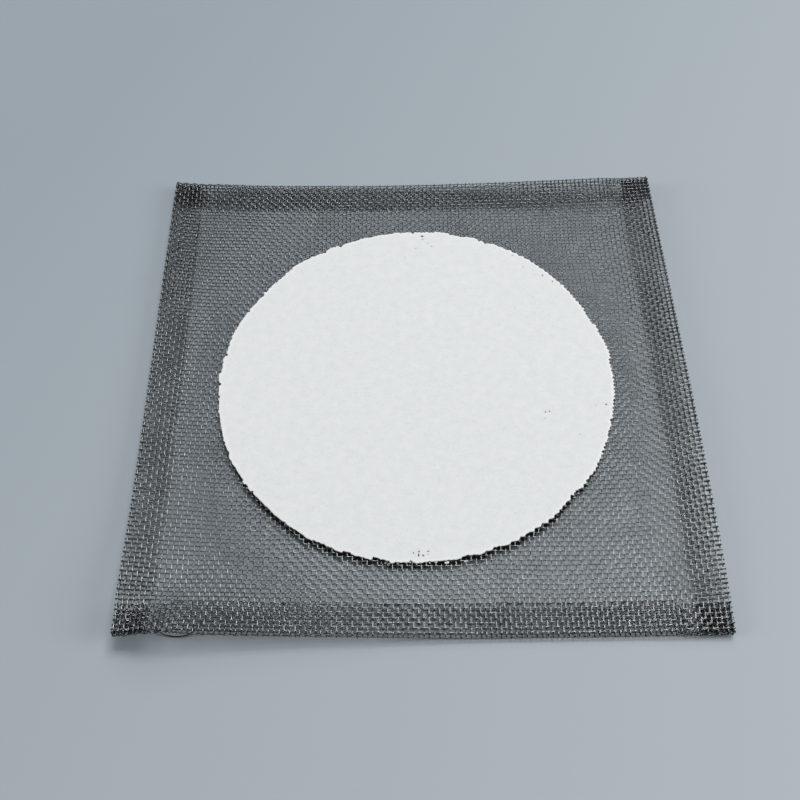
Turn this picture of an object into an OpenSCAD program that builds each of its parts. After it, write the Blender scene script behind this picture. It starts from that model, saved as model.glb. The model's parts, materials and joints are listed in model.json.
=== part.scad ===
// Laboratory wire gauze: one square of woven iron wire cloth with its four edges
// folded under, and a white ceramic disc cast through its meshes.
// +X is right, +Y is back, +Z is up. The origin is at the middle of the base.

/* [Cloth] */
// Length of each side over the folds
side_w = 152.4; // [140:0.2:170]
// Width of the folded hem
hem_w = 9.5; // [7:0.1:12]
// Diameter of the wire, half the thickness of the cloth
wire_d = 0.32; // [0.25:0.01:0.4]
// Radius of the loose fold, at the middle of the cloth
fold_r = 0.68; // [0.6:0.01:1.2]
// Clear space between layers that are pressed together in a corner
press_gap = 0.16; // [0.1:0.01:0.3]

/* [Openings] */
// Number of openings along the clear width between the hems
cells = 15; // [11:2:15]
// Width of the strip of cloth left between two openings
bar_w = 1.8; // [0.8:0.1:3]
// Depth of the grooves between the ridges
ridge_h = 0.16; // [0.05:0.01:0.2]

/* [Ceramic] */
// Diameter of the ceramic disc
disc_d = 111.8; // [100:0.2:116]
// How far the disc was cast to the right of the middle
disc_x = -0.5; // [-2:0.1:2]
// How far the disc was cast behind the middle
disc_y = -0.8; // [-2:0.1:2]
// Height of the ceramic above the cloth
disc_above = 0.8; // [0.4:0.05:1.5]
// Depth of the ceramic below the cloth
disc_below = 0.2; // [0.1:0.05:0.6]
// Size of the worn edge of the disc
disc_bevel = 0.3; // [0.1:0.05:0.35]

/* [Curl] */
// Width of the strip that still lies flat, from the front to the back
flat_w = 28; // [20:1:50]
// How far the strip's middle is to the right of the sheet's middle
flat_x = 4; // [-6:1:6]
// How far the strip runs askew, to the right at the front
flat_skew = 32; // [-20:1:35]
// How sharply the sheet bends up outside the strip
curl_power = 1.5; // [1:0.1:3]
// Rise of the front left corner
lift_front_left = 7.4; // [3:0.1:9]
// Rise of the front right corner
lift_front_right = 1.2; // [1.1:0.1:9]
// Rise of the back left corner
lift_back_left = 2.4; // [1.5:0.1:9]
// Rise of the back right corner
lift_back_right = 4.4; // [1.5:0.1:9]
// Rise of the left side at its middle
lift_left = 2.4; // [0:0.1:5]
// Rise of the right side at its middle
lift_right = 3.3; // [0:0.1:5]

/* [Hidden] */

half_w = side_w / 2;
cloth_t = 2 * wire_d;
inner_w = side_w - 2 * hem_w;
cell_w = inner_w / cells;
gap_w = cell_w - bar_w;
disc_r = disc_d / 2;

// The cloth's middle surface is above the base by one folded hem
cloth_z = 2 * fold_r + cloth_t / 2;

// In a corner the side hem is pressed flat, and the front or back hem closes round it
press_r = (cloth_t + press_gap) / 2;
wrap_r = 2 * press_r + cloth_t / 2 + press_gap / 2;
press_run = 6;

// The curl sets in this far outside the rigid disc, and is strongest in the corners
curl_gap = 3;
corner_power = 3;

// An opening's middle may lie this far under the disc before the opening is closed
rim_cover = 2;

fold_steps = 4;
key_step = 3;
FLAT = 0;
HEM = 1;
FOLD = 2;
FLAP = 3;

// A grid line is [side, part of the sheet, place in that part, depth of groove].
// The same lines serve both ways across the cloth.
hem_lines = concat(
    [for (k = [1:3]) [HEM, k / 4, k % 2 * ridge_h]],
    [for (k = [0:fold_steps]) [FOLD, 180 * k / fold_steps, 0]],
    [for (k = [1:4]) [FLAP, k / 4, k % 2 * ridge_h]]);
hem_n = len(hem_lines);
lines = concat(
    [for (k = [hem_n - 1:-1:0]) concat([-1], hem_lines[k])],
    [for (k = [0:cells]) [1, FLAT, k * cell_w - inner_w / 2, 0]],
    [for (line = hem_lines) concat([1], line)]);
n = len(lines);

function smooth(t) = let (s = min(max(t, 0), 1)) s * s * (3 - 2 * s);
function mix(a, b, t) = a + (b - a) * t;

// Where a line lies across the sheet once it is folded, without its thickness
function fold_start(r) = half_w - r - cloth_t / 2;
function line_place(line) = line[1] == FLAT ? line[2]
    : line[1] == HEM ? line[0] * mix(inner_w / 2, half_w, line[2])
    : line[1] == FOLD ? line[0] * half_w
    : line[0] * mix(half_w, inner_w / 2, line[2]);

// How far the corner's layers are pressed, from 0 along a hem to 1 in the corner
function pressed(place) =
    smooth((abs(place) - (half_w - hem_w - press_run)) / (press_run - wire_d));

// The corner's thicker stack of layers holds the sheet up by at least this much
function stack_rise(x, y) = 2 * max(wrap_r - fold_r, 0) * pressed(x) * pressed(y);

// Carries a point at height w over the cloth's middle through one fold of radius r
function folded(line, w, r) =
    let (side = line[0], a = fold_start(r), v = line[2])
    line[1] == FLAT ? [v, w]
    : line[1] == HEM ? [side * mix(inner_w / 2, a, v), w]
    : line[1] == FOLD ? [side * (a + (r + w) * sin(v)), (r + w) * cos(v) - r]
    : [side * mix(a, inner_w / 2, v), -2 * r - w];

// Rise of a side between its front corner, its middle and its back corner
function side_lift(v, front, middle, back) =
    mix(middle, v < 0 ? front : back, pow(abs(v), corner_power));

// How far the sheet is bent up, from 0 at the flat strip to 1 at the side
function bent(t) = pow(min(max(t, 0), 1), curl_power);

// Rise of the curled sheet, which grows from the flat strip to each side, and from
// the rigid disc outward to the edge
function lift(x, y) =
    let (v = y / half_w,
         strip = flat_x - flat_skew * v,
         left = strip - flat_w / 2,
         right = strip + flat_w / 2,
         rigid = disc_r + curl_gap,
         reach = half_w * norm([x, y]) / max(abs(x), abs(y), cell_w),
         outward = (norm([x, y]) - rigid) / (reach - rigid))
    smooth(outward)
        * (bent((left - x) / (left + half_w))
               * side_lift(v, lift_front_left, lift_left, lift_back_left)
           + bent((x - right) / (half_w - right))
               * side_lift(v, lift_front_right, lift_right, lift_back_right));

// The side hems are folded first, then the front and back hems over them
function placed(line_x, line_y, w, seated) =
    let (across = folded(line_x, w, mix(fold_r, press_r, pressed(line_place(line_y)))),
         along = folded(line_y, across[1], mix(fold_r, wrap_r, pressed(line_place(line_x)))),
         x = across[0],
         y = along[0])
    [x, y, cloth_z + along[1] + (seated ? 0 : max(lift(x, y), stack_rise(x, y)))];

// Cells are numbered from 0 at the left and the front. A cell is seated if the disc
// touches it, open if the disc covers little of it, and keyed if ceramic fills it.
function cell_middle(k) = (k + 0.5) * cell_w - inner_w / 2;
function near_edge(d) = max(abs(d) - cell_w / 2, 0);
function seat_cell(i, j) = i >= 0 && j >= 0 && i < cells && j < cells
    && norm([near_edge(cell_middle(i) - disc_x), near_edge(cell_middle(j) - disc_y)]) < disc_r;
function open_cell(i, j) =
    norm([cell_middle(i) - disc_x, cell_middle(j) - disc_y]) > disc_r - rim_cover;
function from_middle(k) = abs(k - (cells - 1) / 2);
function key_cell(i, j) = from_middle(i) % key_step == 0 && from_middle(j) % key_step == 0
    && norm([abs(cell_middle(i) - disc_x) + cell_w / 2,
             abs(cell_middle(j) - disc_y) + cell_w / 2]) < disc_r;
function gap_cell(i, j) = i >= 0 && j >= 0 && i < cells && j < cells
    && (open_cell(i, j) || key_cell(i, j));
function seat_point(i, j) =
    seat_cell(i - 1, j - 1) || seat_cell(i, j - 1) || seat_cell(i - 1, j) || seat_cell(i, j);

gaps = [for (i = [0:cells - 1], j = [0:cells - 1]) if (gap_cell(i, j)) [i, j]];

// One corner of an opening, on the face that w points to
function rim_point(i, j, sx, sy, w) =
    placed([1, FLAT, cell_middle(i) + sx * gap_w / 2], [1, FLAT, cell_middle(j) + sy * gap_w / 2],
           seat_cell(i, j) ? w : w - sign(w) * ridge_h, seat_cell(i, j));

function grid_points(face) = [for (i = [0:n - 1], j = [0:n - 1])
    placed(lines[i], lines[j], face * (cloth_t / 2 - max(lines[i][3], lines[j][3])),
           seat_point(i - hem_n, j - hem_n))];
function rim_points(face) = [for (g = gaps, c = [[-1, -1], [1, -1], [1, 1], [-1, 1]])
    rim_point(g[0], g[1], c[0], c[1], face * cloth_t / 2)];

function grid_at(i, j) = i * n + j;
function cell_ring(i, j) =
    [grid_at(i, j), grid_at(i + 1, j), grid_at(i + 1, j + 1), grid_at(i, j + 1)];
function two_triangles(a, b, c, d) = [[a, b, c], [a, c, d]];
function flipped(faces) = [for (f = faces) [f[2], f[1], f[0]]];
function shifted(faces, by) = [for (f = faces) [for (p = f) p + by]];

// Faces of the upper side; the lower side repeats them turned over
plain_faces = [for (i = [0:n - 2], j = [0:n - 2])
    if (!gap_cell(i - hem_n, j - hem_n))
        let (q = cell_ring(i, j)) each two_triangles(q[3], q[2], q[1], q[0])];
frame_faces = [for (k = [0:len(gaps) - 1])
    let (q = cell_ring(gaps[k][0] + hem_n, gaps[k][1] + hem_n), rim = n * n + 4 * k)
        for (c = [0:3]) each two_triangles(q[c], rim + c, rim + (c + 1) % 4, q[(c + 1) % 4])];
face_points = n * n + 4 * len(gaps);
upper_faces = concat(plain_faces, frame_faces);
hole_walls = [for (k = [0:len(gaps) - 1], c = [0:3])
    let (a = n * n + 4 * k + c, b = n * n + 4 * k + (c + 1) % 4)
        each two_triangles(a, a + face_points, b + face_points, b)];
edge_ring = concat([for (k = [0:n - 2]) grid_at(k, 0)], [for (k = [0:n - 2]) grid_at(n - 1, k)],
                   [for (k = [n - 1:-1:1]) grid_at(k, n - 1)], [for (k = [n - 1:-1:1]) grid_at(0, k)]);
edge_walls = [for (k = [0:len(edge_ring) - 1])
    let (a = edge_ring[k], b = edge_ring[(k + 1) % len(edge_ring)])
        each two_triangles(b, b + face_points, a + face_points, a)];

// The woven sheet with its ridges, openings and four folded hems
module wire_mesh() {
    color([0.38, 0.4, 0.4])
        polyhedron(
            points = concat(grid_points(1), rim_points(1), grid_points(-1), rim_points(-1)),
            faces = concat(upper_faces, shifted(flipped(upper_faces), face_points),
                           hole_walls, edge_walls),
            convexity = 20);
}

// The flat part of the sheet that the ceramic is cast round
module seat_of_cloth() {
    translate([0, 0, cloth_z - cloth_t / 2])
        linear_extrude(cloth_t)
            difference() {
                square(inner_w, center = true);
                for (g = gaps)
                    if (seat_cell(g[0], g[1]))
                        translate([cell_middle(g[0]), cell_middle(g[1])])
                            square(gap_w, center = true);
            }
}

// The ceramic, keyed through the openings, with its rim worn round
module ceramic_centre() {
    top = cloth_t / 2 + disc_above;
    base = -cloth_t / 2 - disc_below;
    color([0.93, 0.94, 0.95])
        difference() {
            translate([disc_x, disc_y, cloth_z])
                rotate_extrude($fn = 96)
                    polygon([[0, base], [disc_r, base], [disc_r, top - disc_bevel],
                             [disc_r - disc_bevel, top], [0, top]]);
            seat_of_cloth();
        }
}

wire_mesh();
ceramic_centre();
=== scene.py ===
"""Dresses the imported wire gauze: every wire of the folded cloth, the cast ceramic and a plain studio.

Lengths are in millimetres until a mesh is made. The cloth is laid out flat, as it was woven, and is
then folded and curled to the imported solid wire_mesh. Its hems are pinched tighter than the solid's.
"""
import itertools
import json
import math

import bpy
import numpy as np
from mathutils import Matrix, Vector
from mathutils.geometry import delaunay_2d_cdt

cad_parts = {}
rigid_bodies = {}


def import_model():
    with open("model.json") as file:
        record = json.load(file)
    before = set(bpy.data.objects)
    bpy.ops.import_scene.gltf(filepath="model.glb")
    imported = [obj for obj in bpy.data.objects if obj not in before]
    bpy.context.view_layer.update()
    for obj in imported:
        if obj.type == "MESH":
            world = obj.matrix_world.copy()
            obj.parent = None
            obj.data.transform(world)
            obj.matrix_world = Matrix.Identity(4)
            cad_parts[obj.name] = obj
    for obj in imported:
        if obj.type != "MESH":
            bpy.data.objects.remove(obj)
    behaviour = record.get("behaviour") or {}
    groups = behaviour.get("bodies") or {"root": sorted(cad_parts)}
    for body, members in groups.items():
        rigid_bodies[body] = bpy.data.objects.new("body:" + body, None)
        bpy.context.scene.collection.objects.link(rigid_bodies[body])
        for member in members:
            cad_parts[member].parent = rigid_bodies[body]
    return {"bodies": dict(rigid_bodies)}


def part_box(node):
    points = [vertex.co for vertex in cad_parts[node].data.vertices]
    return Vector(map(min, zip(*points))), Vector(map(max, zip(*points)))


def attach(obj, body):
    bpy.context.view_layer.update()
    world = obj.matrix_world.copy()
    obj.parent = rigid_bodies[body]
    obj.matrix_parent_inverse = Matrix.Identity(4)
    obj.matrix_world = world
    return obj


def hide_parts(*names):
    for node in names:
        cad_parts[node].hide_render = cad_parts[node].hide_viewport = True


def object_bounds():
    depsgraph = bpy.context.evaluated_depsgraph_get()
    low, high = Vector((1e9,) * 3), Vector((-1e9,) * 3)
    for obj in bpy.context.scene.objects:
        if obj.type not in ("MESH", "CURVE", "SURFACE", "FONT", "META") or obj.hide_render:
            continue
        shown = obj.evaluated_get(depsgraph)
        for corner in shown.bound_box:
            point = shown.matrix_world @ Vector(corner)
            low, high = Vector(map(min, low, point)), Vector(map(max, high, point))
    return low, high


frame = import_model()
cad_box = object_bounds()

MM = 0.001
BODY = next(iter(frame["bodies"]))

# Cloth
PITCH = 1.27                    # 20 wires to the inch
WIRES = 134                     # each way, cut edge to cut edge
WIRE_R = 0.16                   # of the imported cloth
CLOTH_T = 4 * WIRE_R            # two wires where they cross
FOLD_R = 0.68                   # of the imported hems, at the middle of the cloth
PRESS_GAP = 0.16                # between the layers of a pressed corner
PRESS_R = (CLOTH_T + PRESS_GAP) / 2         # of the corner's inner fold
WRAP_R = 2 * PRESS_R + (CLOTH_T + PRESS_GAP) / 2        # and of the fold round it
PRESS_RUN = 6.0                 # where a hem goes from loose to pressed
HEM_W = 9.5
TUBE_R = 0.162                  # of the wires that are made here
TUBE_SIDES = 5
CROSSINGS = (np.arange(WIRES) - (WIRES - 1) / 2) * PITCH
SPREAD_X, SPREAD_Y = 0.998, 1.006           # the folds lie midway between two columns and on a row

# Packed sizes
HALF = (cad_box[1].x - cad_box[0].x) / 2 / MM
DISC_LOW, DISC_HIGH = (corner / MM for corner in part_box("ceramic_centre"))
DISC_X = (DISC_LOW.x + DISC_HIGH.x) / 2
DISC_Y = (DISC_LOW.y + DISC_HIGH.y) / 2
DISC_R = (DISC_HIGH.x - DISC_LOW.x) / 2

# Curl of the sheet, as packed
FLAT_W = 28.0                   # width of the strip that lies flat
FLAT_X = 4.0                    # its middle, halfway from front to back
FLAT_SKEW = 32.0                # how far left of that its middle is at the back edge
CURL_GAP = 3.0                  # flat cloth round the disc
CURL_POWER = 1.5
CORNER_POWER = 3.0
LIFT_LEFT = (7.4, 2.4, 2.4)     # front corner, middle, back corner
LIFT_RIGHT = (1.2, 3.3, 4.4)

# The hems are pinched flat along their folds and spring open toward their cut edges
PINCH_R = 0.34
OPENS = 2 * (FOLD_R - PINCH_R)  # how much farther down a flap is at its cut edge
OPEN_RUN = 7.0                  # width of flap over which it does
FOLD_AT = HALF - CLOTH_T / 2 + (math.pi / 2 - 1) * PINCH_R      # middle of the fold, along the cloth
# Painted shade: the wires are painted darker where they turn round the folds and face away from the lamps,
# and on the flaps in the shade under the sheet
SHADE_FADE = 0.5                 # painted shade beside a fold fades over this run
SHADE_ROUND, SHADE_ALONG = 1.1, 0.6           # on the wires that turn round it and that lie in it
SHADE_FLAP = 0.55                # painted shade of the flaps in the shade under the sheet, at the right and both ends


def smooth(t):
    s = np.clip(t, 0, 1)
    return s * s * (3 - 2 * s)


def mix(a, b, t):
    return a + (b - a) * t


def unit(v):
    return v / np.linalg.norm(v, axis=-1, keepdims=True)


def through_fold(s, w, r, opening=0.0):
    """Place and height of the point s along the cloth and w over its middle, past a fold of radius r
    whose flap hangs down by opening at its cut edge."""
    start = HALF - r - CLOTH_T / 2
    past = np.abs(s) - start
    turn = np.clip(past / r, 0, math.pi)
    back = np.maximum(past - math.pi * r, 0)
    place = np.minimum(np.abs(s), start) + (r + w) * np.sin(turn) - back
    return np.sign(s) * place, (r + w) * np.cos(turn) - r - opening * smooth(back / OPEN_RUN)


def pressed(s):
    """How far the corner's layers are pressed, from 0 along a hem to 1 in the corner."""
    place = np.abs(through_fold(s, 0, PINCH_R)[0])
    return smooth((place - (HALF - HEM_W - PRESS_RUN)) / (PRESS_RUN - 2 * WIRE_R))


def side_lift(v, front, middle, back):
    """Rise of one side of the sheet, from -1 at its front corner to 1 at its back corner."""
    return mix(middle, np.where(v < 0, front, back), np.abs(v) ** CORNER_POWER)


def bent(t):
    """The share of its full rise that the sheet has at the share t of the way out."""
    return np.clip(t, 0, 1) ** CURL_POWER


def lift(x, y):
    """Rise of the curled sheet over the flat strip and the rigid disc."""
    v = y / HALF
    strip = FLAT_X - FLAT_SKEW * v
    left, right = strip - FLAT_W / 2, strip + FLAT_W / 2
    rigid = DISC_R + CURL_GAP
    distance = np.hypot(x, y)
    reach = HALF * distance / np.maximum(np.maximum(np.abs(x), np.abs(y)), PITCH)
    outward = (distance - rigid) / (reach - rigid)
    at_left = bent((left - x) / (left + HALF)) * side_lift(v, *LIFT_LEFT)
    at_right = bent((x - right) / (HALF - right)) * side_lift(v, *LIFT_RIGHT)
    return smooth(outward) * (at_left + at_right)


# Hand-bent spots at the front left corner: a raised crease, and the tip bent down again
CREASE_X, CREASE_RISE, CREASE_W, CREASE_RUN = -65.8, 1.1, 5.9, 16.0
TIP_X, TIP_Y, TIP_DROP, TIP_RUN = -66.5, -64.0, 1.8, 8.0

# How far each edge bulges between its corners
BOW_LEFT, BOW_RIGHT, BOW_FRONT, BOW_BACK = 0.05, 0.57, 0.14, 0.08


def hand_bends(x, y):
    crease = np.exp(-((x - CREASE_X) / CREASE_W) ** 2) * smooth((CREASE_RUN - HALF - y) / CREASE_RUN)
    tip = smooth((TIP_X - x) / TIP_RUN) * smooth((TIP_Y - y) / TIP_RUN)
    return CREASE_RISE * crease - TIP_DROP * tip


def bowed(place, across, low, high):
    """Where a point lies once the edges bulge, by low on the negative side and high on the other."""
    bow = np.where(place > 0, high, low)
    return place + np.sign(place) * bow * (place / HALF) ** 2 * (1 - (across / HALF) ** 2)


def carried(u, v, w):
    """Where a point of the flat cloth lies once the hems are folded and the sheet curls."""
    in_side, in_end = pressed(u), pressed(v)
    x, z = through_fold(u, w, mix(PINCH_R, PRESS_R, in_end), OPENS * (1 - in_end))
    y, z = through_fold(v, z, mix(PINCH_R, WRAP_R, in_side), OPENS * (1 - in_side))
    stack = 2 * (WRAP_R - FOLD_R) * in_side * in_end
    z = z + CLOTH_Z + np.maximum(lift(x, y) + hand_bends(x, y), stack)
    return np.stack([bowed(x, y, BOW_LEFT, BOW_RIGHT), bowed(y, x, BOW_FRONT, BOW_BACK), z], axis=-1)


def near_fold(place, run):
    """1 where the flat cloth is bent round a fold, 0 farther than run from it."""
    return smooth((run - np.abs(np.abs(place) - FOLD_AT)) / SHADE_FADE)


def painted_shade(u, v, round_fold, along_fold):
    """How much painted shade a wire has: 1 at the folds, less on the flaps under the sheet and 0 on the
    open cloth.
    The wire turns over a fold at the place round_fold and lies in one at the place along_fold."""
    flap = smooth((np.maximum(u, np.abs(v)) - FOLD_AT) / SHADE_FADE) * SHADE_FLAP
    flap = flap * smooth((u + FOLD_AT) / HEM_W)
    bend = np.maximum(near_fold(round_fold, SHADE_ROUND), near_fold(along_fold, SHADE_ALONG))
    return np.maximum(bend, flap)


def swell(rng, x, y, size, waves=14, shortest=18.0, longest=90.0):
    """A smooth random field over the cloth, about size high."""
    total = 0
    for _ in range(waves):
        turn, phase = rng.uniform(0, 2 * math.pi, 2)
        k = 2 * math.pi / rng.uniform(shortest, longest)
        total = total + np.sin(k * (x * math.cos(turn) + y * math.sin(turn)) + phase)
    return total * size / math.sqrt(waves / 2)


def wander(rng, size, knots=16):
    """One slow random drift for each wire, at each of its crossings."""
    values = rng.normal(0, size, (WIRES, knots))
    at = np.linspace(0, knots - 1, WIRES)
    return np.array([np.interp(at, np.arange(knots), row) for row in values])


# Unevenness of the weave
SWELL = 0.18                    # slow drift that neighbouring wires share
WANDER = 0.05                   # slow drift of each wire alone
JITTER = 0.006                  # sideways, at each crossing
UNEVEN = 0.02                   # up and down, at each crossing
# A wire keeps HELD_SHARE of its drift near the folds and cut edges, and all of it farther in
HOLD_IN, HOLD_RUN, HELD_SHARE = 4.0, 8.0, 0.25
CRIMP = 2 * TUBE_R              # rise and fall of a row wire and a column wire together
CRIMP_LEFT, CRIMP_RIGHT = 0.09, 0.23        # the columns' share of it
CRIMP_FROM, CRIMP_RUN = -72.0, 62.0         # where the share starts to grow, and over which run
CLOTH_Z = 2 * FOLD_R + CRIMP - CRIMP_LEFT + TUBE_R
SPLAY, SPLAY_SPREAD = 0.8, 0.5  # how far the cut ends lean aside, and how unevenly
FREE_END = 0.5                  # past the last crossing
SLOPE_FINE = 3                  # samples for each crossing
FOLD_FINE = 6                   # and where the cloth turns round a fold


def free_share(place):
    """The share of its drift that a wire has at a place: little at the folds and cut edges."""
    return np.minimum(smooth((HALF - HOLD_IN - np.abs(place)) / HOLD_RUN) + HELD_SHARE, 1)


def weave(rng):
    """Sideways shift of the column and the row wires, rise of the cloth and crimp of the column
    wires, at each crossing.
    The first index is the column and the second is the row."""
    x, y = np.meshgrid(CROSSINGS, CROSSINGS, indexing="ij")
    shift_x = swell(rng, x, y, SWELL) + wander(rng, WANDER) + rng.normal(0, JITTER, x.shape)
    shift_y = swell(rng, x, y, SWELL) + wander(rng, WANDER).T + rng.normal(0, JITTER, x.shape)
    crimp = mix(CRIMP_LEFT, CRIMP_RIGHT, smooth((x - CRIMP_FROM) / CRIMP_RUN))
    rise = rng.normal(0, UNEVEN, x.shape)
    return shift_x * free_share(x), shift_y * free_share(y), rise, crimp


def sampled(values, steps, waved=False):
    """Values between the samples of each wire, at fractional steps: along straight lines or in waves."""
    low = np.floor(steps).astype(int)
    high = np.minimum(low + 1, values.shape[1] - 1)
    share = steps - low
    if waved:
        share = (1 - np.cos(math.pi * share)) / 2
    return mix(values[:, low], values[:, high], share)


def wire_steps():
    """Samples along a wire, in crossings: more where the cloth turns round a fold."""
    knots = np.arange(WIRES + 2.0)
    at = (knots - (WIRES + 1) / 2) * PITCH
    turning = (np.abs(at) > HALF - WRAP_R - CLOTH_T - PITCH) & (np.abs(at) < HALF + math.pi * WRAP_R)
    steps = [knots]
    for k in range(1, WIRES):
        fine = FOLD_FINE if turning[k] or turning[k + 1] else SLOPE_FINE
        steps.append(k + np.arange(1, fine) / fine)
    return np.unique(np.concatenate(steps))


def with_ends(values, ends):
    """Values at the crossings, with those of the two free ends before and after them."""
    return np.concatenate([ends[:, :1], values, ends[:, 1:]], axis=1)


def wire_paths(rng, along, aside, rise, crimp):
    """Flat path of each wire of one direction: its length, its side shift and its height.
    along and aside are the shifts of the crossing wires and of these wires, one row for each wire."""
    length = CROSSINGS + along
    free = np.stack([length[:, 0] - FREE_END, length[:, -1] + FREE_END], axis=1)
    place = CROSSINGS[:, None] + aside
    # past the last crossing the cut ends lie free and lean aside
    leaning = place[:, [0, -1]] + rng.normal(1, SPLAY_SPREAD, (WIRES, 2)) * SPLAY
    over = (-1.0) ** (np.arange(WIRES)[:, None] + np.arange(WIRES)[None, :])
    height = over * crimp + rise
    steps = wire_steps()
    return (sampled(with_ends(length, free), steps), sampled(with_ends(place, leaning), steps),
            sampled(with_ends(height, np.zeros((WIRES, 2))), steps, waved=True))


def tubes(path, up, shown):
    """Corners, walls and end caps of a round wire along each row of path."""
    tangent = unit(np.gradient(path, axis=1))
    side = unit(np.cross(tangent, up))
    up = np.cross(side, tangent)
    angle = np.arange(TUBE_SIDES) * 2 * math.pi / TUBE_SIDES
    ring = (np.cos(angle)[:, None] * side[:, :, None] + np.sin(angle)[:, None] * up[:, :, None]) * TUBE_R
    corners = (path[:, :, None] + ring).reshape(-1, 3)
    count, samples = shown.shape
    first = (np.arange(count * samples) * TUBE_SIDES).reshape(count, samples)
    joined = shown[:, :-1] & shown[:, 1:]
    start = first[:, :-1][joined][:, None]
    end = first[:, 1:][joined][:, None]
    here = np.arange(TUBE_SIDES)
    there = (here + 1) % TUBE_SIDES
    walls = np.stack([start + here, start + there, end + there, end + here], axis=-1).reshape(-1, 4)
    before = np.pad(joined, ((0, 0), (1, 0)))
    after = np.pad(joined, ((0, 0), (0, 1)))
    opens = first[after & ~before][:, None]
    closes = first[before & ~after][:, None]
    caps = [(opens + here[::-1]).reshape(-1, TUBE_SIDES), (closes + here).reshape(-1, TUBE_SIDES)]
    return corners, walls, np.concatenate(caps)


def mesh_piece(name, corners, face_sets, material, node, shades=None):
    """A smooth piece from corners in millimetres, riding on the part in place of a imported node.
    shades holds a value for each corner under the name of each mesh attribute."""
    used, index = np.unique(np.concatenate([faces.ravel() for faces in face_sets]), return_inverse=True)
    faces, first = [], 0
    for face_set in face_sets:
        faces += index[first:first + face_set.size].reshape(face_set.shape).tolist()
        first += face_set.size
    mesh = bpy.data.meshes.new(name)
    mesh.from_pydata((corners[used] * MM).tolist(), [], faces)
    for shade, values in (shades or {}).items():
        mesh.attributes.new(shade, "FLOAT", "POINT").data.foreach_set("value", values[used])
    mesh.shade_smooth()
    piece = bpy.data.objects.new(name, mesh)
    bpy.context.scene.collection.objects.link(piece)
    mesh.materials.append(material)
    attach(piece, BODY)
    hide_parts(node)


WEAVE_SEED = 11
NUDGE = 1e-3                    # a step through the cloth, which shows the way that it faces
LOOSE_FINE = 3                  # samples for each point of the loose wire
LOOSE_WIRE = (
    (-67.8, -71.6, 5.0), (-67.3, -71.9, 3.2), (-66.3, -72.6, 1.6), (-65.6, -73.4, 0.9),
    (-64.3, -73.9, 0.5), (-62.5, -74.3, 0.4), (-61.1, -74.4, 0.4), (-59.6, -74.3, 0.5),
    (-58.2, -73.9, 0.8), (-57.1, -73.3, 1.2), (-55.8, -72.6, 2.6), (-54.5, -72.1, 4.8))
HIDDEN_IN_DISC = 3.6            # wires deeper than this in the ceramic aren't made


def make_wires(material):
    """The two sets of wires, each in three pieces."""
    rng = np.random.default_rng(WEAVE_SEED)
    shift_x, shift_y, rise, crimp = weave(rng)
    columns = wire_paths(rng, shift_y, shift_x, rise, crimp)
    rows = wire_paths(rng, shift_x.T, shift_y.T, rise.T, (crimp - CRIMP).T)
    for name, (length, place, height), upright in (("column", columns, True), ("row", rows, False)):
        u, v = (place, length) if upright else (length, place)
        u, v = u * SPREAD_X, v * SPREAD_Y
        path = carried(u, v, height)
        up = carried(u, v, height + NUDGE) - carried(u, v, height - NUDGE)
        inside = np.hypot(path[..., 0] - DISC_X, path[..., 1] - DISC_Y) < DISC_R - HIDDEN_IN_DISC
        near_top = path[..., 2] > CLOTH_Z - CLOTH_T
        shown = ~(inside & near_top)
        shown[[0, -1]] = False
        round_fold, along_fold = (v, u) if upright else (u, v)
        # painted shade at the folds and on the flaps
        dark = np.repeat(painted_shade(u, v, round_fold, along_fold), TUBE_SIDES, axis=1)
        parts = ("left", "middle", "right") if upright else ("front", "middle", "back")
        for k, part in enumerate(parts):
            chosen = slice(WIRES * k // 3, WIRES * (k + 1) // 3)
            corners, *faces = tubes(path[chosen], up[chosen], shown[chosen])
            shades = {"painted_shade": dark[chosen].ravel()}
            mesh_piece(f"{name}_wires_{part}", corners, faces, material, "wire_mesh", shades)


def make_loose_wire(material):
    """A wire that hangs out of the front hem down to the floor."""
    line = np.array(LOOSE_WIRE)
    along = np.linspace(0, len(line) - 1, LOOSE_FINE * (len(line) - 1) + 1)
    path = np.array([np.interp(along, np.arange(len(line)), line[:, axis]) for axis in range(3)]).T[None]
    up = np.zeros_like(path) + (0, 0, 1)
    corners, *faces = tubes(path, up, np.ones(path.shape[:2], dtype=bool))
    # painted shade: the loose wire lies in the shadow under the front hem and is painted dark all along
    shades = {"painted_shade": np.ones(len(corners))}
    mesh_piece("loose_wire", corners, faces, material, "wire_mesh", shades)


# Ceramic
CERAMIC_SEED = 5
RIM_POINTS = 1500
OVAL = 0.74                     # how much longer than its mean the longest radius is
OVAL_TURN = math.radians(42)
# Waves round the rim: how many are added, the range of how often each goes round, and their size
RIM_WAVES = ((8, 5, 14, 0.10), (12, 25, 70, 0.07), (30, 110, 330, 0.05))
CHIPS, CHIP_DEPTH = 90, 0.17    # steps of the broken rim
NOTCHES, NOTCH_DEPTH, NOTCH_W = 34, (0.2, 0.8), (0.15, 0.5)
TEETH_Y, TEETH_X, TEETH_TURN = 0.2, 0.05, 0.15          # the rim follows the rows and the columns
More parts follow.
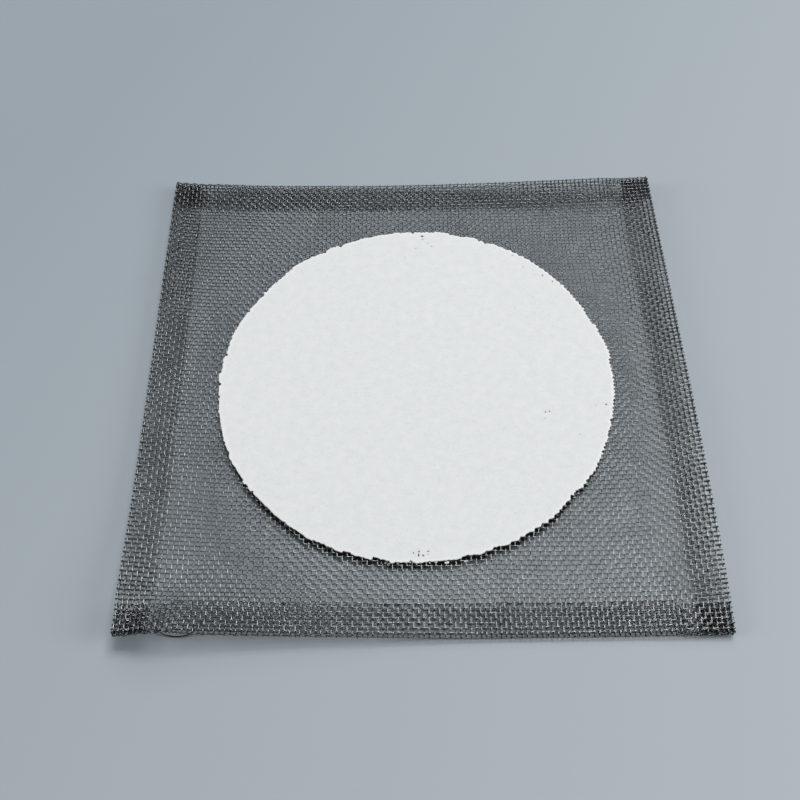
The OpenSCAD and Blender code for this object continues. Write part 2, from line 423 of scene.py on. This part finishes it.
# Rings of corners from the rim to each face: how far inside the rim, and how far from that face
TOP_RINGS = ((0.0, 0.26), (0.03, 0.12), (0.12, 0.04), (0.5, 0.0))
BASE_RINGS = ((0.12, 1.34), (0.5, 1.22), (0.8, 0.6), (0.0, 0.2), (0.0, 0.12), (0.4, 0.0), (0.6, 0.0))
TOP_HIGHLIGHT = (0.4, 1.0, 1.0, 1.0)            # painted highlight, whiter along the rim, from the top face to the rim
BASE_SHADE = (1.0, 1.0, 1.0, 1.0, 1.0, 0.5, 0.0)         # painted shade, black on the rim's side and under it, from the rim to the base
SHADE_LIP_RINGS = (0, 0, 0, 1, 1, 1, 1)           # rings that stand out under the cloth as a black lip, a sheet of painted shade
SHADE_LIP_FRONT, SHADE_LIP_AROUND = 0.9, 0.1            # how far it stands out
SHADE_LIP_FROM, SHADE_LIP_RUN = 0.35, 0.55              # it grows toward the front, by the sine of the angle
FACE_STEP = PITCH / 2
FACE_MARGIN = 0.25              # between a face's last ring and its grid
GRID_SPARE = 2.0                # how far the grid reaches past the mean radius
TOP_WEAVE, BASE_WEAVE = 0.006, -0.05        # how far the cloth shows through
TOP_LUMPS = (0.016, 24, 2, 12)  # size, number, shortest and longest of the faces' uneven waves
BASE_LUMPS = (0.012, 20, 3, 12)
SPECK_SIDES = 8
SPECK_RINGS = ((0.0, 1), (0.8, 1), (1.5, 0))            # how far out in half widths, 1 at the bottom
SPECK_CLEAR = 1.9               # half widths without grid points round a pit
PIT_DEPTH = 0.12
DELAUNAY_INSIDE, DELAUNAY_EPSILON = 1, 1e-7

# Pits through the ceramic's skin: x, y, half width, half depth, darkness
SPECKS = (
    (-2.85, -53.89, 0.17, 0.15, 1), (-1.41, -53.55, 0.25, 0.15, 1), (-1.56, -54.46, 0.15, 0.36, 1),
    (-0.39, -54.61, 0.24, 0.24, 0.8), (0.9, -53.46, 0.24, 0.15, 0.9), (0.79, -54.4, 0.14, 0.15, 0.4),
    (35.01, -11.74, 0.18, 0.18, 1), (36.15, -11.56, 0.18, 0.18, 1), (34.65, -13.83, 0.15, 0.15, 0.4),
    (52.3, -9.41, 0.25, 0.16, 1), (43.72, -19.11, 0.15, 0.15, 0.4), (49.28, -9.69, 0.15, 0.15, 0.4),
    (2.5, 53.22, 0.42, 0.26, 1), (2.62, 51.94, 0.2, 0.2, 0.6), (4.01, 50.41, 0.2, 0.2, 0.5),
    (5.27, 49.09, 0.2, 0.2, 0.5), (0.31, 48.14, 0.2, 0.2, 0.4), (-3.17, 44.64, 0.2, 0.2, 0.3),
    (38.73, 37.3, 0.2, 0.22, 0.9), (41.53, 34.94, 0.2, 0.22, 0.9), (30.18, 45.27, 0.3, 0.16, 0.4),
    (32.98, 40.57, 0.15, 0.15, 0.4))

# Crumbs that lie on the wires under the front rim: x, y and size
CRUMBS = (
    (-11.1, -56.3, 0.2), (-10.1, -56.3, 0.2), (-9.0, -56.5, 0.24), (-6.8, -56.5, 0.22), (-3.8, -56.2, 0.34),
    (-3.1, -56.3, 0.3), (-2.4, -56.2, 0.36), (-1.2, -56.4, 0.26), (1.3, -56.4, 0.24), (2.8, -56.2, 0.4),
    (5.3, -56.4, 0.36), (5.8, -56.3, 0.38), (10.3, -56.1, 0.24), (10.9, -56.0, 0.24), (35.0, -44.7, 0.24))
CRUMB_SEED = 8
CRUMB_Z = 2.15
CRUMB_DENTS, CRUMB_STRETCH = (0.6, 1.15), (0.7, 1.3)
EDGE_LIMIT = 1.1                # an icosahedron's edge is 1.05 of its radius long


def rim_radius(rng, angle):
    """Distance of the crumbling rim from the disc's middle."""
    r = DISC_R + OVAL * np.cos(2 * (angle - OVAL_TURN))
    for waves, low, high, size in RIM_WAVES:
        for k in rng.integers(low, high, waves):
            r = r + size * math.sqrt(2 / waves) * np.sin(k * angle + rng.uniform(0, 2 * math.pi))
    # it broke away in flakes that end at one wire or another
    starts = np.sort(rng.uniform(0, 2 * math.pi, CHIPS))
    flake = rng.normal(0, CHIP_DEPTH, CHIPS)
    r = r + flake[np.searchsorted(starts, angle) % CHIPS]
    places = rng.uniform(0, 2 * math.pi, NOTCHES)
    depths = rng.uniform(*NOTCH_DEPTH, NOTCHES)
    widths = rng.uniform(*NOTCH_W, NOTCHES)
    for at, depth, width in zip(places, depths, widths):
        apart = np.abs((angle - at + math.pi) % (2 * math.pi) - math.pi) * DISC_R
        r = r - depth * np.exp(-(apart / width) ** 2)
    x, y = r * np.cos(angle) + DISC_X, r * np.sin(angle) + DISC_Y
    teeth = TEETH_Y * smooth(0.5 + 0.5 * np.cos(angle + TEETH_TURN))
    return r + teeth * np.sin(2 * math.pi * y / PITCH) + TEETH_X * np.sin(2 * math.pi * x / PITCH)


def grid_inside(step, angle, radius, margin):
    """Points of a square grid, in line with the wires, that lie inside the rim by margin."""
    reach = math.ceil((DISC_R + GRID_SPARE) / step) * step
    line = np.arange(-reach, reach + step / 2, step)
    x, y = (axis.ravel() for axis in np.meshgrid(line, line))
    dx, dy = x - DISC_X, y - DISC_Y
    rim = np.interp(np.arctan2(dy, dx) % (2 * math.pi), angle, radius, period=2 * math.pi)
    keep = np.hypot(dx, dy) < rim - margin
    return np.stack([x[keep], y[keep]], axis=1)


def speck_points():
    """Points round each pit and at its bottom, with how deep and how dark each is, from 0 to 1."""
    points, dark = [], []
    turn = np.arange(SPECK_SIDES) * 2 * math.pi / SPECK_SIDES
    for x, y, half_w, half_d, shade in SPECKS:
        for grow, depth in SPECK_RINGS:
            for a in turn[:1] if grow == 0 else turn:
                points.append((x + grow * half_w * math.cos(a), y + grow * half_d * math.sin(a)))
                dark.append(depth * shade)
    return np.array(points), np.array(dark)


def away_from_specks(points):
    keep = np.ones(len(points), dtype=bool)
    for x, y, half_w, half_d, _ in SPECKS:
        keep &= np.hypot((points[:, 0] - x) / half_w, (points[:, 1] - y) / half_d) > SPECK_CLEAR
    return points[keep]


def filled(ring, points):
    """Triangles that fill a ring, through the points inside it. The ring's corners come first."""
    n = len(ring)
    edges = [(k, (k + 1) % n) for k in range(n)]
    corners = [Vector(p) for p in np.concatenate([ring, points])]
    _, _, faces, origins, _, _ = delaunay_2d_cdt(corners, edges, [], DELAUNAY_INSIDE, DELAUNAY_EPSILON)
    order = np.array([origin[0] for origin in origins])
    return order[np.array(faces)]


def weave_waves(points):
    return np.cos(2 * math.pi * points[:, 0] / PITCH) * np.cos(2 * math.pi * points[:, 1] / PITCH)


def icosahedron():
    """Unit corners and the 20 faces between neighbouring corners, turned outward."""
    golden = (1 + math.sqrt(5)) / 2
    sheet = [(a, b * golden, 0) for a in (-1, 1) for b in (-1, 1)]
    corners = unit(np.concatenate([np.roll(sheet, k, axis=1) for k in range(3)]))
    faces = []
    for a, b, c in itertools.combinations(range(12), 3):
        sides = corners[[b, c, a]] - corners[[a, b, c]]
        if np.linalg.norm(sides, axis=1).max() > EDGE_LIMIT:
            continue
        outward = np.cross(sides[0], sides[1]) @ corners[a] > 0
        faces.append((a, b, c) if outward else (a, c, b))
    return corners, np.array(faces)


def rim_rings(angle, radius):
    """Rings of corners from the top's edge, out round the rim and in under the base."""
    out = np.stack([np.cos(angle), np.sin(angle)], axis=1)
    middle = np.array([DISC_X, DISC_Y])
    # a black lip of painted shade stands out under the cloth, most at the front, where the floor under the
    # disc lies in shadow
    shade_lip = mix(SHADE_LIP_AROUND, SHADE_LIP_FRONT, smooth((-np.sin(angle) - SHADE_LIP_FROM) / SHADE_LIP_RUN))
    rings = [(inset, DISC_HIGH.z - drop) for inset, drop in reversed(TOP_RINGS)]
    for (inset, rise), in_shade_lip in zip(BASE_RINGS, SHADE_LIP_RINGS):
        rings.append((inset - shade_lip * in_shade_lip, DISC_LOW.z + rise))
    layers = []
    for inset, z in rings:
        flat = middle + out * (radius - inset)[:, None]
        layers.append(np.column_stack([flat, np.full(RIM_POINTS, z)]))
    return layers


def walls_between(count):
    """Two triangles for each corner of each ring but the last."""
    here = np.arange(RIM_POINTS)
    there = (here + 1) % RIM_POINTS
    faces = []
    for k in range(count - 1):
        a, b = k * RIM_POINTS, (k + 1) * RIM_POINTS
        faces.append(np.stack([a + here, b + here, b + there], axis=1))
        faces.append(np.stack([a + here, b + there, a + there], axis=1))
    return faces


def lid(ring, ring_first, points, points_first):
    """Triangles that fill a ring, by the numbers that its corners and the points have in the piece."""
    triangles = filled(ring[:, :2], points)
    return np.where(triangles < RIM_POINTS, triangles + ring_first, triangles - RIM_POINTS + points_first)


def relief(rng, points, weave_size, lumps):
    """How far a face rises at each point: the cloth that shows through it, and its lumps."""
    return weave_size * weave_waves(points) + swell(rng, points[:, 0], points[:, 1], *lumps)


def make_ceramic(material):
    """The disc: rings round its rim, and a fine face above and below with its pits and unevenness."""
    rng = np.random.default_rng(CERAMIC_SEED)
    angle = np.arange(RIM_POINTS) * 2 * math.pi / RIM_POINTS
    radius = rim_radius(rng, angle)
    layers = rim_rings(angle, radius)

    grid = away_from_specks(grid_inside(FACE_STEP, angle, radius, TOP_RINGS[-1][0] + FACE_MARGIN))
    pits, pit_dark = speck_points()
    top = np.concatenate([grid, pits])
    dark = np.concatenate([np.zeros(len(grid)), pit_dark])
    top_z = DISC_HIGH.z + (relief(rng, top, TOP_WEAVE, TOP_LUMPS) - PIT_DEPTH * (dark > 0))
    base = grid_inside(FACE_STEP, angle, radius, BASE_RINGS[-1][0] + FACE_MARGIN)
    base_z = DISC_LOW.z + relief(rng, base, BASE_WEAVE, BASE_LUMPS)

    top_first = len(layers) * RIM_POINTS
    faces = walls_between(len(layers))
    faces.append(lid(layers[0], 0, top, top_first))
    faces.append(lid(layers[-1], top_first - RIM_POINTS, base, top_first + len(top))[:, ::-1])
    corners = np.concatenate([*layers, np.column_stack([top, top_z]), np.column_stack([base, base_z])])
    # painted highlight, whiter along the rim's top
    rim_edge = np.repeat(TOP_HIGHLIGHT + (0.0,) * len(BASE_RINGS), RIM_POINTS)
    # painted shade, black on the rim's side and lip; the pits on the top are black too
    rim_shade = np.repeat((0.0,) * len(TOP_RINGS) + BASE_SHADE, RIM_POINTS)
    shades = {
        "edge": np.concatenate([rim_edge, np.zeros(len(top) + len(base))]),
        "pits_and_shade": np.concatenate([rim_shade, dark, np.zeros(len(base))])}
    mesh_piece("ceramic_disc", corners, faces, material, "ceramic_centre", shades)


def make_crumbs(material):
    """Broken crumbs, each an uneven ball of 20 faces."""
    rng = np.random.default_rng(CRUMB_SEED)
    ball, ball_faces = icosahedron()
    corners, faces = [], []
    for k, (x, y, size) in enumerate(CRUMBS):
        dented = ball * rng.uniform(*CRUMB_DENTS, (len(ball), 1)) * size
        corners.append(dented * rng.uniform(*CRUMB_STRETCH, 3) + (x, y, CRUMB_Z))
        faces.append(ball_faces + len(ball) * k)
    count = len(ball) * len(CRUMBS)
    # the crumbs are painted all over in the rim's painted highlight white
    shades = {"edge": np.ones(count), "pits_and_shade": np.zeros(count)}
    corners = np.concatenate(corners)
    mesh_piece("ceramic_crumbs", corners, faces, material, "ceramic_centre", shades)


# Materials. A ramp's stops are places from 0 to 1, each with a colour. Sizes are in millimetres.
NOISE_LOW, NOISE_HIGH = 0.3, 0.7            # most of a noise lies between them
# Painted shade: the wires are darker toward the back left, where they catch fewer highlights, and lighter
# toward the front right; the patches within each ramp are the iron's own uneven tone
IRON_SHADED_SIDE = ((0.35, (0.17, 0.178, 0.181)), (0.65, (0.225, 0.235, 0.24)))
IRON_LIT_SIDE = ((0.35, (0.29, 0.303, 0.308)), (0.65, (0.38, 0.397, 0.403)))
# Painted shade, at the folds, on the flaps under the sheet and along the loose wire
IRON_SHADE = (0.09, 0.094, 0.096)
IRON_METALLIC = 0.95
IRON_ROUGHNESS = (0.1, 0.18)
IRON_PATCH, IRON_WEAR, IRON_GRAIN, IRON_BUMP = 6, 0.9, 0.12, 0.006
IRON_SHADE_SLOPE, IRON_SHADE_SLOPE_TURN = 170, -58      # painted shade: length and direction from the darker back left to the lighter front right
CERAMIC_SKIN = ((0.3, (0.76, 0.785, 0.79)), (0.7, (0.81, 0.825, 0.825)))
CERAMIC_PORES = ((0.3, (0.22, 0.22, 0.22)), (0.44, (0, 0, 0)))
# The grey of the pores, and the white of the painted highlight on the rim and the crumbs
CERAMIC_POROUS, CERAMIC_HIGHLIGHT = (0.5, 0.52, 0.53), (0.93, 0.93, 0.925)
# Black of the pits, and of the painted shade on the rim's side and lip
CERAMIC_PITS_AND_SHADE = (0.012, 0.012, 0.012)
CERAMIC_ROUGHNESS = (0.85, 0.98)
CERAMIC_MOTTLE, CERAMIC_PORE, CERAMIC_GRAIN, CERAMIC_BUMP = 2.6, 0.5, 0.35, 0.03
# Painted light: the table's colour is darker toward the back left and brighter toward the front right
TABLE_SHADED_TO_LIT = ((0.15, (0.335, 0.385, 0.43)), (0.85, (0.465, 0.515, 0.55)))
TABLE_LIGHT_SLOPE, TABLE_LIGHT_SLOPE_TURN = 460, -38
TABLE_ROUGHNESS, TABLE_SPECULAR = 0.85, 0.2


def material_nodes(name):
    material = bpy.data.materials.new(name)
    material.use_nodes = True
    nodes, links = material.node_tree.nodes, material.node_tree.links
    coordinates = nodes.new("ShaderNodeTexCoord").outputs["Object"]
    return material, nodes, links, nodes["Principled BSDF"], coordinates


def noise(nodes, links, coordinates, size_mm, detail=3.0):
    node = nodes.new("ShaderNodeTexNoise")
    node.inputs["Scale"].default_value = 1 / (size_mm * MM)
    node.inputs["Detail"].default_value = detail
    links.new(coordinates, node.inputs["Vector"])
    return node.outputs["Fac"]


def ramp(nodes, links, value, stops):
    node = nodes.new("ShaderNodeValToRGB")
    elements = node.color_ramp.elements
    while len(elements) < len(stops):
        elements.new(0.5)
    for element, (place, colour) in zip(elements, stops):
        element.position = place
        element.color = (*colour, 1)
    links.new(value, node.inputs["Fac"])
    return node.outputs["Color"]


def in_range(nodes, links, value, low, high):
    """A noise spread over the range from low to high."""
    node = nodes.new("ShaderNodeMapRange")
    limits = {"From Min": NOISE_LOW, "From Max": NOISE_HIGH, "To Min": low, "To Max": high}
    for socket, number in limits.items():
        node.inputs[socket].default_value = number
    links.new(value, node.inputs["Value"])
    return node.outputs["Result"]


def bumped(nodes, links, height, shader, depth_mm):
    node = nodes.new("ShaderNodeBump")
    node.inputs["Strength"].default_value = 1.0
    node.inputs["Distance"].default_value = depth_mm * MM
    links.new(height, node.inputs["Height"])
    links.new(node.outputs["Normal"], shader.inputs["Normal"])


def attribute(nodes, name):
    node = nodes.new("ShaderNodeAttribute")
    node.attribute_name = name
    return node.outputs["Fac"]


def mixed(nodes, links, share, first, second):
    """The colour first where share is 0 and second where it is 1."""
    node = nodes.new("ShaderNodeMix")
    node.data_type = "RGBA"
    links.new(share, node.inputs["Factor"])
    for socket, colour in ((node.inputs[6], first), (node.inputs[7], second)):
        if isinstance(colour, tuple):
            socket.default_value = (*colour, 1)
        else:
            links.new(colour, socket)
    return node.outputs[2]


def gradient(nodes, links, coordinates, length_mm, turn_deg):
    """0 to 1 over a length across the middle, in a direction turned from +x."""
    spread = nodes.new("ShaderNodeMapping")
    spread.inputs["Rotation"].default_value = (0, 0, math.radians(-turn_deg))
    spread.inputs["Scale"].default_value = (1 / (length_mm * MM),) * 3
    spread.inputs["Location"].default_value = (0.5, 0, 0)
    slope = nodes.new("ShaderNodeTexGradient")
    links.new(coordinates, spread.inputs["Vector"])
    links.new(spread.outputs["Vector"], slope.inputs["Vector"])
    return slope.outputs["Fac"]


def wire_material():
    """Iron with patches and fine wear, and with painted shade: darker toward the back left of the gauze,
    where it catches fewer highlights, and dark at the folds and on the flaps under the sheet.
    """
    material, nodes, links, shader, at = material_nodes("iron_with_painted_shade")
    shader.inputs["Metallic"].default_value = IRON_METALLIC
    patches = noise(nodes, links, at, IRON_PATCH, detail=4)
    shaded_side = ramp(nodes, links, patches, IRON_SHADED_SIDE)
    lit_side = ramp(nodes, links, patches, IRON_LIT_SIDE)
    # painted shade across the gauze, from the darker back left to the lighter front right
    across = gradient(nodes, links, at, IRON_SHADE_SLOPE, IRON_SHADE_SLOPE_TURN)
    surface = mixed(nodes, links, across, shaded_side, lit_side)
    # the wires' painted shade, read from their mesh attribute
    with_painted_shade = mixed(nodes, links, attribute(nodes, "painted_shade"), surface, IRON_SHADE)
    links.new(with_painted_shade, shader.inputs["Base Color"])
    wear = noise(nodes, links, at, IRON_WEAR)
    links.new(in_range(nodes, links, wear, *IRON_ROUGHNESS), shader.inputs["Roughness"])
    bumped(nodes, links, noise(nodes, links, at, IRON_GRAIN), shader, IRON_BUMP)
    return material


def ceramic_material():
    """Mottled porous white, black in its pits, with a painted highlight whiter along its rim and painted
    shade black on its side and lip.
    """
    material, nodes, links, shader, at = material_nodes("white_ceramic")
    mottle = noise(nodes, links, at, CERAMIC_MOTTLE, detail=6)
    skin = ramp(nodes, links, mottle, CERAMIC_SKIN)
    pores = ramp(nodes, links, noise(nodes, links, at, CERAMIC_PORE, detail=2), CERAMIC_PORES)
    porous = mixed(nodes, links, pores, skin, CERAMIC_POROUS)
    # painted highlight along the rim and on the crumbs
    highlighted = mixed(nodes, links, attribute(nodes, "edge"), porous, CERAMIC_HIGHLIGHT)
    # black in the pits, and painted shade on the rim's side and lip
    pitted_and_shaded = mixed(nodes, links, attribute(nodes, "pits_and_shade"), highlighted, CERAMIC_PITS_AND_SHADE)
    links.new(pitted_and_shaded, shader.inputs["Base Color"])
    grain = noise(nodes, links, at, CERAMIC_GRAIN, detail=4)
    links.new(in_range(nodes, links, grain, *CERAMIC_ROUGHNESS), shader.inputs["Roughness"])
    bumped(nodes, links, grain, shader, CERAMIC_BUMP)
    return material


def floor_material():
    material, nodes, links, shader, at = material_nodes("pale_table")
    # painted light, brighter toward the front right
    slope = gradient(nodes, links, at, TABLE_LIGHT_SLOPE, TABLE_LIGHT_SLOPE_TURN)
    links.new(ramp(nodes, links, slope, TABLE_SHADED_TO_LIT), shader.inputs["Base Color"])
    shader.inputs["Roughness"].default_value = TABLE_ROUGHNESS
    shader.inputs["Specular IOR Level"].default_value = TABLE_SPECULAR
    return material


# Studio, in metres and watts
FLOOR_REACH = 3.0
CAMERA_AT = Vector((-11.515, -160.37, 241.647)) * MM
CAMERA_AHEAD = Vector((0.021334, 0.539032, -0.842015))
CAMERA_UP = Vector((0.007023, 0.842105, 0.539268))
CAMERA_LENS, SENSOR = 45.58, 36.0           # in millimetres
CLIP_START = 0.01
ROOM_COLOURS = ((0.0, (0.015, 0.0165, 0.018)), (1.0, (0.12, 0.125, 0.13)))
# Soft boxes: name, power, width, depth and place
PANELS = (
    ("ceiling_panel", 25.0, 1.0, 0.8, (0.42, 0.7, 2.0)),
    ("right_panel", 7.5, 0.7, 0.5, (1.2, -0.2, 0.7)),
    ("left_panel", 5.5, 0.7, 0.5, (-1.25, -0.2, 0.6)),
    ("window", 3.0, 1.0, 0.6, (0.0, 1.0, 1.0)))


def make_floor():
    mesh = bpy.data.meshes.new("floor")
    r = FLOOR_REACH
    mesh.from_pydata([(-r, -r, 0), (r, -r, 0), (r, r, 0), (-r, r, 0)], [], [(0, 1, 2, 3)])
    floor = bpy.data.objects.new("floor", mesh)
    bpy.context.scene.collection.objects.link(floor)
    mesh.materials.append(floor_material())


def make_camera():
    data = bpy.data.cameras.new("camera")
    data.sensor_width = SENSOR
    data.lens = CAMERA_LENS
    data.clip_start = CLIP_START
    camera = bpy.data.objects.new("camera", data)
    bpy.context.scene.collection.objects.link(camera)
    right = CAMERA_AHEAD.cross(CAMERA_UP).normalized()
    up = right.cross(CAMERA_AHEAD).normalized()
    turn = Matrix((right, up, -CAMERA_AHEAD.normalized())).transposed().to_4x4()
    camera.matrix_world = Matrix.Translation(CAMERA_AT) @ turn
    bpy.context.scene.camera = camera


def area_light(name, power, width, depth, place):
    """A soft box that faces the gauze, with its width level in x."""
    data = bpy.data.lights.new(name, "AREA")
    data.shape = "RECTANGLE"
    data.size = width
    data.size_y = depth
    data.energy = power
    light = bpy.data.objects.new(name, data)
    light.location = place
    back = Vector(place).normalized()
    side = Vector((0, 1, 0)).cross(back).normalized()
    light.rotation_mode = "QUATERNION"
    light.rotation_quaternion = Matrix((side, back.cross(side), back)).transposed().to_quaternion()
    bpy.context.scene.collection.objects.link(light)


def make_world():
    """A dim even room that is brighter overhead."""
    world = bpy.data.worlds.new("room")
    world.use_nodes = True
    nodes, links = world.node_tree.nodes, world.node_tree.links
    background = nodes["Background"]
    at = nodes.new("ShaderNodeTexCoord").outputs["Generated"]
    split = nodes.new("ShaderNodeSeparateXYZ")
    links.new(at, split.inputs["Vector"])
    room = ramp(nodes, links, split.outputs["Z"], ROOM_COLOURS)
    links.new(room, background.inputs["Color"])
    bpy.context.scene.world = world


def make_studio():
    make_floor()
    make_camera()
    make_world()
    for panel in PANELS:
        area_light(*panel)
    bpy.context.scene.view_settings.view_transform = "Standard"


wire_look = wire_material()
make_wires(wire_look)
make_loose_wire(wire_look)
ceramic_look = ceramic_material()
make_ceramic(ceramic_look)
make_crumbs(ceramic_look)
make_studio()
